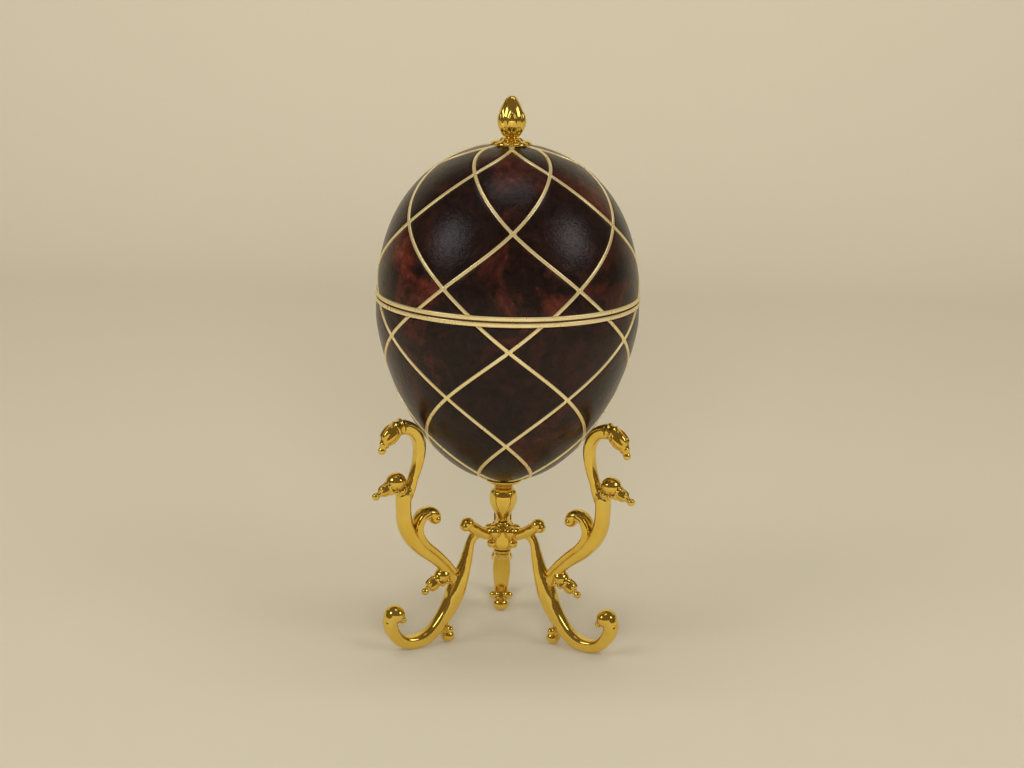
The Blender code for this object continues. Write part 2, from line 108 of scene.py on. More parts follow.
# Directions of the three legs, and one leg's bars in its own plane, as
# (distance from the axis, height, half thickness).
LEG_AZIMUTHS = {"leg_rear": 90, "leg_front_left": 210, "leg_front_right": 330}
LEG_BARS = {
    "shank": (
        (6.5, 69.5, 3.6), (14, 70.2, 3.0), (20, 69.6, 2.9), (23.6, 65, 2.5), (25.6, 57.5, 3.1),
        (27.8, 49.5, 3.8), (31, 41.5, 4.9), (34.2, 33.5, 5.5), (37.6, 25.5, 5.0), (43.5, 16.6, 4.4),
        (50.5, 8.9, 4.2), (58.5, 4.7, 4.2), (67.5, 4.4, 4.1), (74.6, 7.9, 4.0), (79.4, 14.6, 4.1),
        (80.6, 20.0, 4.4),
    ),
    "stem": (
        (33, 38, 3.0), (38.5, 46.4, 3.6), (44.6, 53.6, 3.7), (52, 60, 3.9), (60, 66.6, 4.3),
        (67, 75, 4.5), (70.8, 84, 4.5), (71.9, 93, 4.3), (71.8, 102, 4.4), (70.8, 106, 3.9),
    ),
    "upper_scroll": (
        (70.2, 99, 2.9), (67.4, 107, 3.1), (65.4, 113.5, 2.9), (63.2, 119.5, 3.1),
        (61.6, 127, 3.4), (61.3, 134.5, 3.6), (63.4, 140.6, 3.9), (67.4, 145.2, 4.2), (72, 147.0, 4.5),
    ),
    "inner_scroll": (
        (36.5, 48.0, 1.9), (41.3, 54.4, 2.2), (49.2, 62.6, 2.4), (56.6, 69.2, 2.6), (61.2, 76, 2.8),
        (61.8, 82.6, 3.0), (59.2, 87.6, 3.3), (55.4, 89.4, 3.6),
    ),
    "hub_scroll": ((12, 68.5, 3.6), (17, 71, 3.7), (21.5, 74, 3.8), (25.4, 76.6, 3.5)),
    "heel_neck": ((44.5, 15.5, 2.5), (41.6, 9.4, 2.4), (39.6, 5.6, 2.5)),
}

# Cross-section of each bar: (squareness, width for its thickness, depth of the side groove).
BAR_SECTIONS = {
    "shank": (3.1, 1.12, 0.05),
    "stem": (3.1, 1.14, 0.0),
    "upper_scroll": (3.1, 1.18, 0.0),
    "inner_scroll": (2.2, 1.62, 0.12),
    "hub_scroll": (2.2, 1.25, 0.0),
    "heel_neck": (2.2, 1.3, 0.0),
}
INNER_SCROLL_HALF_WIDTH = 6.4
BAR_END_BULGE = 0.8

# Voxel size and rounds of smoothing of the fused castings, as (final, quick).
LEG_VOXEL = (0.42, 0.9)
LEG_SMOOTHING = (4, 2)
STEM_VOXEL = (0.32, 0.6)
STEM_SMOOTHING = (3, 3)

# Metres and degrees from here on: the camera from the axis, and the paper sweep.
CAMERA_PLACE = (-0.0030, -1.1968, 0.4659)
CAMERA_YAW = -0.33
CAMERA_TILT = 14.031
CAMERA_ROLL = 1.325
CAMERA_LENS = 68.45
SWEEP_FRONT = (-3.6, -2.4, -1.2)
SWEEP_BACK = 1.1
SWEEP_BEND = 0.9
SWEEP_HEIGHT = 2.4
SWEEP_HALF_WIDTH = 3.2


def egg_radius(z):
    """Radius of the egg's outline at a height."""
    drop, (bulge, root) = EGG_DROP, LOWER_POWERS
    if z > EGG_WIDEST_Z:
        drop, (bulge, root) = EGG_RISE, UPPER_POWERS
    share = min(1.0, abs(z - EGG_WIDEST_Z) / drop)
    return EGG_RADIUS * (1 - share**bulge) ** (1 / root)


def trace_meridian():
    """Distance from the top pole, radius and height, along the outline from pole to pole."""
    turn = np.linspace(0, math.pi, 4000)
    height = EGG_WIDEST_Z + np.where(turn < math.pi / 2, EGG_RISE, EGG_DROP) * np.cos(turn)
    radius = np.array([egg_radius(z) for z in height])
    steps = np.hypot(np.diff(radius), np.diff(height))
    return np.concatenate([[0], np.cumsum(steps)]), radius, height


MERIDIAN = trace_meridian()


def on_outline(distance, depth=0.0):
    """(radii, heights) at these distances from the top pole, depth below the surface."""
    along, radius, height = MERIDIAN
    distance = np.clip(distance, 0, along[-1])
    before, after = np.clip(distance - 0.5, 0, None), np.clip(distance + 0.5, None, along[-1])
    d_radius = np.interp(after, along, radius) - np.interp(before, along, radius)
    d_height = np.interp(after, along, height) - np.interp(before, along, height)
    length = np.hypot(d_radius, d_height)
    r = np.interp(distance, along, radius) + depth * d_height / length
    z = np.interp(distance, along, height) - depth * d_radius / length
    return np.maximum(r, 0.0), z


def distance_at_height(z):
    """Distance down the outline to a height."""
    along, _, height = MERIDIAN
    return float(np.interp(-z, -height, along))


def distance_at_radius(r, lower):
    """Distance down the outline to a radius, above or below the widest place."""
    along, radius, height = MERIDIAN
    side = height < EGG_WIDEST_Z if lower else height > EGG_WIDEST_Z
    order = np.argsort(radius[side])
    return float(np.interp(r, radius[side][order], along[side][order]))


def smooth_curve(points, count):
    """count places along a Catmull-Rom curve through the points."""
    points = np.asarray(points, float)
    padded = np.vstack([2 * points[0] - points[1], points, 2 * points[-1] - points[-2]])
    places = np.linspace(0, len(points) - 1, count)
    first = np.clip(np.floor(places).astype(int), 0, len(points) - 2)
    t = (places - first)[:, None]
    a, b, c, d = (padded[first + step] for step in range(4))
    return b + 0.5 * t * (c - a + t * (2 * a - 5 * b + 4 * c - d + t * (3 * (b - c) + d - a)))


def level_table():
    """Distances down the shell for levels of the net, past both of its ends."""
    inner = smooth_curve(np.asarray(CROSSINGS)[:, None], 1401)[:, 0]
    levels = np.linspace(0, len(CROSSINGS) - 1, len(inner))
    top = CROSSINGS[0] - 0.45 * (CROSSINGS[1] - CROSSINGS[0])
    bottom = CROSSINGS[-1] + (CROSSINGS[-1] - CROSSINGS[-2])
    return (
        np.concatenate([[-0.45], levels, [len(CROSSINGS)]]),
        np.concatenate([[top], inner, [bottom]]),
    )


LEVELS, LEVEL_DISTANCES = level_table()


def distance_at_level(level):
    """Distance down the shell to a level of the net; strips cross at whole levels."""
    return np.interp(level, LEVELS, LEVEL_DISTANCES)


def level_at(distance):
    """Level of the net at a distance down the shell."""
    return np.interp(distance, LEVEL_DISTANCES, LEVELS)


def strip_scale(distance):
    """How fast the two chart directions change per millimetre, as one length."""
    r, _ = on_outline(distance)
    across = 1 / (np.maximum(r, STRIP_WIDTH) * math.pi / REPEATS)
    down = (level_at(distance + 0.6) - level_at(distance - 0.6)) / 1.2
    return np.hypot(across, down)


def smoothstep(x):
    """An even rise from 0 to 1."""
    x = np.clip(x, 0, 1)
    return x * x * (3 - 2 * x)


# ---------------------------------------------------------------- mesh helpers


def grid_faces(rows, columns, closed=True, start=0):
    """Quads between rows of a grid; the columns close on themselves if closed."""
    across = columns if closed else columns - 1
    row, column = np.meshgrid(np.arange(rows - 1), np.arange(across), indexing="ij")
    following = (column + 1) % columns
    quads = (
        row * columns + column, (row + 1) * columns + column,
        (row + 1) * columns + following, row * columns + following,
    )
    return (np.stack([q.ravel() for q in quads], axis=1) + start).tolist()


def about_axis(turn=0.0):
    """The move from the axis at the origin to its place in the frame, after a turn in degrees."""
    return Matrix.Translation((AXIS.x, AXIS.y, 0)) @ Matrix.Rotation(math.radians(turn), 4, "Z")


def add_piece(name, points, faces, finish, body, replaced, turn=0.0, sharp=35):
    """A mesh piece from points in millimetres about the axis, riding on a body."""
    mesh = bpy.data.meshes.new(name)
    mesh.from_pydata((np.asarray(points, float) * MM).tolist(), [], faces)
    mesh.validate()
    mesh.transform(about_axis(turn))
    return finish_piece(name, mesh, finish, body, replaced, sharp)


def finish_piece(name, mesh, finish, body, replaced, sharp):
    """Puts a mesh on the stage as a piece that replaces CAD nodes."""
    mesh.shade_smooth()
    if sharp:
        mesh.set_sharp_from_angle(angle=math.radians(sharp))
    mesh.materials.append(finish)
    made = bpy.data.objects.new(name, mesh)
    bpy.context.scene.collection.objects.link(made)
    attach(made, body)
    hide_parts(*replaced)
    return made


def raised(outline, height):
    """An outline's (radius, height) points, moved up."""
    return [(r, z + height) for r, z in outline]


def revolve(outline, segments, relief=None):
    """Points and faces of an outline turned round the axis, with a relief along its normals."""
    outline = np.asarray(outline, float)
    closed = outline[0, 0] > 1e-6
    ring = np.vstack([outline, outline[:1]]) if closed else outline
    angle = FRONT + 2 * math.pi * np.arange(segments) / segments
    tangent = np.gradient(ring, axis=0)
    normal = np.stack([-tangent[:, 1], tangent[:, 0]], axis=1)
    normal /= np.maximum(np.linalg.norm(normal, axis=1), 1e-9)[:, None]
    lift = np.zeros((len(ring), segments))
    if relief:
        lift = relief(ring[:, :1], ring[:, 1:], (angle - FRONT)[None, :]) + lift
    r = ring[:, :1] + lift * normal[:, :1]
    z = ring[:, 1:] + lift * normal[:, 1:]
    r = np.maximum(r, 0)
    points = np.stack([r * np.cos(angle), r * np.sin(angle), z], axis=-1).reshape(-1, 3)
    return points, grid_faces(len(ring), segments)


def add_turned(name, outline, finish, body, replaced, segments=192, relief=None, turn=0.0, sharp=35):
    """A turned piece from an outline, closed on itself unless it starts on the axis."""
    points, faces = revolve(outline, segments, relief)
    made = add_piece(name, points, faces, finish, body, replaced, turn, sharp)
    weld(made.data)
    return made


def weld(mesh):
    """Joins points that coincide, such as the last ring of an outline with its first."""
    bm = bmesh.new()
    bm.from_mesh(mesh)
    bmesh.ops.remove_doubles(bm, verts=bm.verts, dist=1e-6)
    bmesh.ops.recalc_face_normals(bm, faces=bm.faces)
    bm.to_mesh(mesh)
    bm.free()


def rounded(outline, radius, steps=4):
    """A closed outline with each corner replaced by a small curve."""
    outline = np.asarray(outline, float)
    made = []
    count = len(outline)
    for index, corner in enumerate(outline):
        before, after = outline[index - 1], outline[(index + 1) % count]
        into, out = before - corner, after - corner
        reach = min(radius, 0.45 * np.linalg.norm(into), 0.45 * np.linalg.norm(out))
        start = corner + into / np.linalg.norm(into) * reach
        end = corner + out / np.linalg.norm(out) * reach
        for t in np.linspace(0, 1, steps):
            made.append((1 - t) ** 2 * start + 2 * t * (1 - t) * corner + t * t * end)
    return made


# ---------------------------------------------------------------- materials


class Nodes:
    """A small wrapper for building a node tree."""

    def __init__(self, name):
        self.material = bpy.data.materials.new(name)
        self.material.use_nodes = True
        self.tree = self.material.node_tree
        self.shader = self.tree.nodes["Principled BSDF"]

    def add(self, kind, settings=None, **inputs):
        """A node with settings, and inputs named with _ for each space."""
        node = self.tree.nodes.new(kind)
        for key, value in (settings or {}).items():
            setattr(node, key, value)
        for key, value in inputs.items():
            self.put(node.inputs[key.replace("_", " ")], value)
        return node

    def put(self, socket, value):
        """Links a socket to another one, or sets it to a value."""
        if isinstance(value, bpy.types.NodeSocket):
            self.tree.links.new(value, socket)
        else:
            socket.default_value = value

    def math(self, operation, *values):
        node = self.tree.nodes.new("ShaderNodeMath")
        node.operation = operation
        for socket, value in zip(node.inputs, values):
            self.put(socket, value)
        return node.outputs[0]

    def mix(self, share, first, second):
        """A colour between two, each a socket or (red, green, blue)."""
        node = self.add("ShaderNodeMix", {"data_type": "RGBA"})
        self.put(node.inputs[0], share)
        for socket, colour in zip(node.inputs[6:8], (first, second)):
            self.put(socket, (*colour, 1) if isinstance(colour, tuple) else colour)
        return node.outputs[2]

    def ramp(self, value, *stops):
        """Maps a value through stops of (position, level)."""
        node = self.tree.nodes.new("ShaderNodeValToRGB")
        self.put(node.inputs[0], value)
        marks = node.color_ramp.elements
        while len(marks) < len(stops):
            marks.new(0.5)
        for mark, (place, level) in zip(marks, stops):
            mark.position = place
            mark.color = (level, level, level, 1)
        return node.outputs[0]

    def coordinates(self, scale=(1, 1, 1)):
        place = self.add("ShaderNodeTexCoord")
        node = self.add("ShaderNodeMapping", Vector=place.outputs["Object"], Scale=scale)
        return node.outputs[0]

    def noise(self, scale, detail=4.0, roughness=0.55, distortion=0.0, where=None):
        node = self.add(
            "ShaderNodeTexNoise", Vector=where or self.coordinates(), Scale=scale, Detail=detail,
            Roughness=roughness, Distortion=distortion,
        )
        return node.outputs[0]

    def bump(self, height, distance, strength=1.0, normal=None):
        node = self.add("ShaderNodeBump", Height=height, Distance=distance, Strength=strength)
        if normal:
            self.put(node.inputs["Normal"], normal)
        return node.outputs[0]


def brass_material(name, colour, pale, crevice_shade, roughness, spread, metallic, crevice_shade_strength, waviness):
    """Polished brass: cloudy tone, painted shade darkening the crevices, and fine scratches."""
    n = Nodes(name)
    shader = n.shader
    cloud = n.noise(55, 5, 0.6, 0.6)
    toned = n.mix(n.ramp(cloud, (0.35, 0.0), (0.7, 1.0)), colour, pale)
    # Painted shade: where pointiness finds a hollow, the base colour is darkened towards the crevice
    # colour, and the hollow is also made rougher.
    pointed = n.add("ShaderNodeNewGeometry").outputs["Pointiness"]
    hollow = n.ramp(pointed, (0.44, crevice_shade_strength), (0.5, 0.0))
    painted_crevice_shade = n.math("MULTIPLY", hollow, n.ramp(n.noise(160, 3), (0.3, 0.5), (0.6, 1.0)))
    n.put(shader.inputs["Base Color"], n.mix(painted_crevice_shade, toned, crevice_shade))
    scratch = n.noise(900, 2, 0.5, where=n.coordinates((1, 1, 0.12)))
    smear = n.noise(120, 4, 0.6, 0.4)
    rough = n.math("ADD", roughness, n.math("MULTIPLY", n.math("SUBTRACT", smear, 0.45), spread))
    rough = n.math("ADD", rough, n.math("MULTIPLY", n.math("SUBTRACT", scratch, 0.5), spread * 0.3))
    rough = n.math("MAXIMUM", n.math("ADD", rough, n.math("MULTIPLY", painted_crevice_shade, 0.22)), 0.04)
    n.put(shader.inputs["Roughness"], rough)
    n.put(shader.inputs["Metallic"], metallic)
    wave = n.bump(n.noise(210, 2, 0.4), waviness, 0.25)
    n.put(shader.inputs["Normal"], n.bump(scratch, 0.00002, 0.25, wave))
    return n.material


def shell_material():
    """Dark pen shell under clear lacquer: near black, with maroon clouds, streaks and crazing."""
    n = Nodes("pen_shell_lacquered")
    shader = n.shader
    tile = n.add("ShaderNodeAttribute", {"attribute_name": "tile"})
    split = n.add("ShaderNodeSeparateColor", Color=tile.outputs["Color"])
    tone, shift = split.outputs[0], split.outputs[1]
    offset = n.add("ShaderNodeCombineXYZ", X=shift, Y=tone, Z=shift)
    moved = n.add("ShaderNodeVectorMath", {"operation": "ADD"})
    n.put(moved.inputs[0], n.coordinates())
    n.put(moved.inputs[1], offset.outputs[0])
    where = moved.outputs[0]
    cloud = n.noise(26, 6, 0.62, 1.1, where)
    wisps = n.noise(75, 5, 0.65, 1.8, where)
    patches = n.ramp(cloud, (0.46, 0.0), (0.7, 1.0))
    red = n.math("MULTIPLY", patches, n.ramp(wisps, (0.3, 0.25), (0.66, 1.0)))
    redness = n.math("MULTIPLY", n.math("MULTIPLY", tone, tone), 1.9)
    red = n.math("MULTIPLY", red, n.math("ADD", 0.1, redness))
    streaks = n.ramp(wisps, (0.35, 0.0), (0.7, 1.0))
    dark = n.mix(streaks, (0.0040, 0.0020, 0.0016), (0.0145, 0.0056, 0.0040))
    flecks = n.ramp(n.noise(140, 4, 0.6, 0.8, where), (0.45, 0.0), (0.72, 1.0))
    warm = n.mix(flecks, (0.080, 0.0125, 0.0075), (0.165, 0.038, 0.016))
    n.put(shader.inputs["Base Color"], n.mix(n.math("MINIMUM", red, 0.9), dark, warm))
    cell = n.add("ShaderNodeTexVoronoi", {"feature": "DISTANCE_TO_EDGE"}, Vector=where, Scale=150.0)
    craze = n.ramp(cell.outputs["Distance"], (0.0, 0.0), (0.09, 1.0))
    ripple = n.noise(330, 3, 0.6, 0.5, where)
    n.put(shader.inputs["Roughness"], n.math("ADD", 0.26, n.math("MULTIPLY", ripple, 0.2)))
    n.put(shader.inputs["Normal"], n.bump(ripple, 0.00032, 0.5, n.bump(craze, 0.00006, 0.5)))
    n.put(shader.inputs["Specular IOR Level"], 0.15)
    n.put(shader.inputs["Coat Weight"], 0.34)
    n.put(shader.inputs["Coat Roughness"], 0.07)
    n.put(shader.inputs["Coat IOR"], 1.4)
    speckle = n.noise(360, 3, 0.75, 0.4, where)
    n.put(shader.inputs["Coat Normal"], n.bump(speckle, 0.0004, 0.7))
    return n.material


def lacquer_material():
    """Matt black lacquer with a slight orange peel and rubbed patches."""
    n = Nodes("inside_lacquer")
    toned = n.mix(n.noise(40, 4), (0.012, 0.009, 0.008), (0.03, 0.023, 0.019))
    n.put(n.shader.inputs["Base Color"], toned)
    n.put(n.shader.inputs["Roughness"], n.ramp(n.noise(90, 4), (0.3, 0.42), (0.7, 0.62)))
    n.put(n.shader.inputs["Normal"], n.bump(n.noise(700, 2), 0.0001, 0.4))
    return n.material


def steel_material():
    """Machined steel with fine turning marks and a little staining."""
    n = Nodes("machined_steel")
    marks = n.noise(1400, 2, where=n.coordinates((1, 1, 6)))
    toned = n.mix(n.noise(160, 4), (0.42, 0.41, 0.4), (0.62, 0.61, 0.6))
    n.put(n.shader.inputs["Base Color"], toned)
    n.put(n.shader.inputs["Roughness"], n.ramp(marks, (0.3, 0.24), (0.7, 0.42)))
    n.put(n.shader.inputs["Metallic"], 1.0)
    n.put(n.shader.inputs["Normal"], n.bump(marks, 0.00003, 0.5))
    return n.material


def paper_material():
    """Matt cream paper, slightly cloudy, with a fine grain."""
    n = Nodes("seamless_paper")
    toned = n.mix(n.noise(2.2, 3), (0.603, 0.542, 0.407), (0.625, 0.563, 0.427))
    n.put(n.shader.inputs["Base Color"], toned)
    n.put(n.shader.inputs["Roughness"], 0.85)
    n.put(n.shader.inputs["Specular IOR Level"], 0.15)
    n.put(n.shader.inputs["Normal"], n.bump(n.noise(900, 3), 0.0002, 0.15))
    return n.material


CAST = brass_material(
    "cast_brass_polished", colour=(0.85, 0.58, 0.095), pale=(0.92, 0.67, 0.15), crevice_shade=(0.30, 0.11, 0.02),
    roughness=0.09, spread=0.08, metallic=0.95, crevice_shade_strength=0.9, waviness=0.0002,
)
INLAY = brass_material(
    "inlay_brass_satin", colour=(0.86, 0.68, 0.32), pale=(0.92, 0.78, 0.44), crevice_shade=(0.42, 0.26, 0.1),
    roughness=0.28, spread=0.08, metallic=0.7, crevice_shade_strength=0.1, waviness=0.00006,
)
# Painted shade: a near-black brass for the seam's groove, standing in for the shadow in the gap between
# the bands.
SEAM_SHADE_BRASS = brass_material(
    "groove_brass_painted_shade", colour=(0.16, 0.08, 0.025), pale=(0.28, 0.15, 0.05),
    crevice_shade=(0.06, 0.03, 0.01), roughness=0.4, spread=0.1, metallic=0.7, crevice_shade_strength=0.9, waviness=0.0001,
)
SHELL = shell_material()
LACQUER = lacquer_material()
STEEL = steel_material()


# ---------------------------------------------------------------- the egg


def strip_chart(distance, angle):
    """Two numbers for each point of a grid over the shell, whole on either family of strips."""
    level = level_at(distance)[:, None]
    across = (angle - FRONT)[None, :] / (math.pi / REPEATS)
    return (across - level) / 2, (across + level) / 2


def strip_distance(distance, angle):
    """Distance in millimetres from points of the shell to the nearest strip's middle line."""
    one, other = strip_chart(distance, angle)
    nearest = np.minimum(abs(one - np.round(one)), abs(other - np.round(other)))
    return 2 * nearest / strip_scale(distance)[:, None]


def tile_values(distance, angle):
    """Three random numbers for each tile between the strips, as an array over the grid."""
    one, other = (np.floor(value).astype(int) for value in strip_chart(distance, angle))
    row, column = other - one, (one + other) % (2 * REPEATS)
    random = np.random.default_rng(TILE_SEED).random((TILE_ROWS, 2 * REPEATS, 3))
    return random[row % TILE_ROWS, column]


def layer_points(rows, angle, depth):
    """Points of a grid over the shell, at a depth given for each of them."""
    r = np.stack([on_outline(rows, column)[0] for column in depth.T], axis=1)
    z = np.stack([on_outline(rows, column)[1] for column in depth.T], axis=1)
    return np.stack([r * np.cos(angle), r * np.sin(angle), z], axis=-1)


def add_tiles(side, edge, turn):
    """The dark shell tiles of one half, each slightly pillowed towards its strips."""
    hole = distance_at_radius(TILE_HOLE, side == "base")
    start, end = min(edge, hole), max(edge, hole)
    rows = np.linspace(start, end, int((end - start) / ROW_SPACING))
    back_rows = np.linspace(end, start, TILE_BACK_ROWS)
    angle = FRONT + 2 * math.pi * np.arange(TILE_COLUMNS) / TILE_COLUMNS
    away = strip_distance(rows, angle) - STRIP_WIDTH / 2
    depth = TILE_DEPTH + TILE_PILLOW * np.exp(-np.maximum(away, 0) / TILE_PILLOW_REACH)
    outer = layer_points(rows, angle, depth)
    inner = layer_points(back_rows, angle, np.full((TILE_BACK_ROWS, TILE_COLUMNS), TILE_BACK))
    cloud = np.concatenate([outer, inner, outer[:1]]).reshape(-1, 3)
    faces = grid_faces(len(rows) + TILE_BACK_ROWS + 1, TILE_COLUMNS)
    made = add_piece(
        f"{side}_shell_tiles", cloud, faces, SHELL, side, [f"{side}_veneer"], turn, 0
    )
    values = tile_values(rows, angle)
    values = np.concatenate([values, tile_values(back_rows, angle), values[:1]]).reshape(-1, 3)
    colours = np.concatenate([values, np.ones((len(values), 1))], axis=1).astype(np.float32)
    attribute = made.data.attributes.new("tile", "FLOAT_COLOR", "POINT")
    attribute.data.foreach_set("color", colours.ravel())
    weld(made.data)


def add_net(side, top, bottom, turn):
    """The brass strips of one half as one net, domed across each strip."""
    rows = np.arange(distance_at_level(top), distance_at_level(bottom), ROW_SPACING)
    rows = np.append(rows, distance_at_level(bottom))
    level = level_at(rows)
    half = STRIP_WIDTH / 2 * strip_scale(rows)
    middle = np.abs((level + 1) % 2 - 1)
    low, high = np.clip(middle - half, 0, 1), np.clip(middle + half, 0, 1)
    share = low[:, None] + (high - low)[:, None] * np.linspace(0, 1, STRIP_COLUMNS)[None, :]
    off = np.clip(np.abs(share - middle[:, None]) / half[:, None], 0, 1)
    depth = STRIP_FOOT - (STRIP_FOOT - STRIP_TOP) * (1 - off**5) ** 0.55
    points, faces = [], []
    for index in range(2 * REPEATS):
        centre = FRONT + 2 * math.pi / REPEATS * (index // 2)
        direction = 1 if index % 2 else -1
        angle = centre + direction * share * math.pi / REPEATS
        cloud = layer_points(rows, angle, depth).reshape(-1, 3)
        quads = grid_faces(len(rows), STRIP_COLUMNS, False, index * len(cloud))
        faces += quads if direction > 0 else [quad[::-1] for quad in quads]
        points.append(cloud)
    cloud = np.concatenate(points)
    made = add_piece(
        f"{side}_strip_net", cloud, faces, INLAY, side, [f"{side}_inlay"], turn, 0
    )
    weld(made.data)
    thick = made.modifiers.new("thickness", "SOLIDIFY")
    thick.thickness = STRIP_THICKNESS * MM
    thick.offset = -1


def add_core(side, edge, turn):
    """The lacquered core of one half, hollow inside."""
    hole = distance_at_radius(CORE_HOLE, side == "base")
    rows = np.linspace(min(edge, hole), max(edge, hole), 70)
    outside = np.stack(on_outline(rows, CORE_LAYER[0]), axis=1)
    inside = np.stack(on_outline(rows[::-1], CORE_LAYER[1]), axis=1)
    outline = np.vstack([outside, inside])
    add_turned(f"{side}_lining", outline, LACQUER, side, [f"{side}_core"], 160, turn=turn)


def rim_outline(direction):
    """A rim band's outline, above the seam or below it."""
    back = BAND_HALF_GAP + BAND_HEIGHT
    bore = RIM_BORE if direction > 0 else LIP_RADIUS + LIP_GAP
    corners = (
        (bore, LEDGE_HALF_GAP), (LEDGE_RADIUS, LEDGE_HALF_GAP), (LEDGE_RADIUS, BAND_HALF_GAP),
        (BAND_RADIUS, BAND_HALF_GAP), (BAND_RADIUS, back), (bore, back),
    )
    return rounded([(r, SEAM_Z + direction * z) for r, z in corners], 0.7, 5)


def add_band(side, direction):
    """A half's rim band, with painted shade: dark brass on the narrow groove at the seam."""
    outline = rim_outline(direction)
    made = add_turned(f"{side}_band", outline, INLAY, side, [f"{side}_rim"], 288)
    # Painted shade: the groove faces at the seam get the dark brass instead of the band's own finish.
    made.data.materials.append(SEAM_SHADE_BRASS)
    for face in made.data.polygons:
        reach = math.hypot(face.center.x - AXIS.x, face.center.y - AXIS.y) / MM
        in_groove = LEDGE_RADIUS - 0.1 < reach < BAND_RADIUS - 0.4
        if in_groove and abs(face.center.z / MM - SEAM_Z) < 2 * BAND_HALF_GAP:
            face.material_index = 1


def past_band(direction, gap):
    """Distance down the shell to a gap past the back of one half's band."""
    return distance_at_height(SEAM_Z + direction * (BAND_HALF_GAP + BAND_HEIGHT + gap))


def add_egg():
    """Both halves of the egg, from the seam to the poles, and the lip between them."""
    halves = (("lid", 1, LID_TURN), ("base", -1, BASE_TURN))
    for side, direction, turn in halves:
        add_tiles(side, past_band(direction, 0.1), turn)
    add_net("lid", NET_TOP_LEVEL, level_at(past_band(1, 0.1)), LID_TURN)
    add_net("base", level_at(past_band(-1, 0.1)), NET_BOTTOM_LEVEL, BASE_TURN)
    for side, direction, turn in halves:
        add_core(side, past_band(direction, 0.4), turn)
    for side, direction, _ in halves:
        add_band(side, direction)
    inside = LIP_RADIUS - LIP_THICKNESS
    lip = (
        (inside, SEAM_Z - 9), (LIP_RADIUS, SEAM_Z - 9), (LIP_RADIUS, SEAM_Z + 3),
        (LIP_RADIUS - 1, SEAM_Z + 6.5), (inside, SEAM_Z + 6.5),
    )
    add_turned("lid_locating_ring", rounded(lip, 0.5), INLAY, "base", ["locating_lip"], 240)


# ---------------------------------------------------------------- finial and stem


def petal_rows(turn, z, rows):
    """Relief of overlapping petals; a row is (tip height, foot height, petals, first angle, lift)."""
    lift = np.zeros(np.broadcast(z, turn).shape)
    for tip, foot, count, first, height in rows:
        pitch = 2 * math.pi / count
        across = np.abs((turn - first + pitch / 2) % pitch - pitch / 2) / (pitch / 2)
        down = (tip - z) / (tip - foot)
        width = 1.04 * np.clip(down, 0, 1) ** 0.45
        edge = smoothstep((width - across) / 0.28) * smoothstep(down / 0.15)
        dome = 0.6 + 0.4 * np.cos(across * 1.4)
        petal = height * edge * dome * (down < 1.02)
        lift = np.where(petal > 0.02, np.maximum(lift * (1 - edge) + petal, 0), lift)
    return lift


def bud_relief(r, z, turn):
    """Three closed petals over six wider ones, fading out at the tip and at the neck."""
    rows = (
        (BUD_TOP - 0.1, BUD_TOP - 18.4, 3, math.pi / 6, 0.5),
        (BUD_TOP - 9.0, BUD_TOP - 24.0, 6, 0.0, 1.1),
    )
    fade = smoothstep((z - BUD_TOP + 25.2) / 1.5) * smoothstep((r - 0.6) / 1.8)
    return petal_rows(turn, z, rows) * fade


def lobes(turn):
    """Six rounded lobes, one each side of the front, from 0 in the clefts to 1."""
    return np.abs(np.sin(3 * turn)) ** 0.6


def add_finial():
    """The bud and the lobed collar it stands on."""
    bud = (
        (0, 0), (1.7, -0.3), (3.1, -1.6), (4.9, -4.7), (6.6, -8.2), (7.9, -12.2), (8.1, -15.8),
        (7.0, -20.0), (5.0, -23.2), (3.9, -24.8), (3.7, -25.5),
    )
    hollow = ((STUD_BORE, -25.6), (STUD_BORE, -14.4), (0, -14.4))
    outline = raised([*smooth_curve(bud, 150), *hollow], BUD_TOP)
    add_turned(
        "finial_petalled_bud", outline, CAST, "lid", ["finial_bud"], 240, bud_relief,
        LID_TURN, 0,
    )
    pole = EGG_WIDEST_Z + EGG_RISE
    ring = (
        (STUD_BORE, 3.4), (4.6, 3.6), (6.0, 3.1), (7.0, 2.4), (8.0, 1.8), (9.2, 1.5), (10.7, 1.2),
        (11.9, 0.4), (12.0, -0.6), (11.0, -1.1), (7.0, 0.1), (STUD_BORE, 0.5),
    )

    def relief(r, z, turn):
        outer = smoothstep((r - 8.2) / 2.0) * (lobes(turn) - 0.6) * 1.3
        inner = smoothstep((r - 4.6) / 1.2) * smoothstep((8.6 - r) / 0.9) * (lobes(turn) - 0.5) * 0.8
        return (outer + inner) * smoothstep((z - pole + 1.2) / 0.8)

    outline = smooth_curve(raised(ring, pole), 90)
    add_turned(
        "finial_petalled_collar", outline, CAST, "lid", ["finial_collar"], 240, relief,
        LID_TURN, 0,
    )


def add_stem():
    """The flared cup under the egg and everything below it on the axis."""
    pole = EGG_WIDEST_Z - EGG_DROP
    foot = -6.2
    cup = (
        (STUD_BORE, -0.4), (6.0, -0.35), (10.4, 0.3), (11.9, 0.1), (12.0, -0.9), (10.6, -2.2),
        (8.6, -3.2), (6.6, -4.4), (5.7, -5.4), (5.9, foot), (STUD_BORE, foot),
    )
    outline = smooth_curve(raised(cup, pole), 80)
    add_turned("flared_cup", outline, CAST, "base", ["base_cup"], 160, sharp=50)
    add_knop(pole + foot - SEAT_GAP)
    add_hub()
    add_dome_nut()


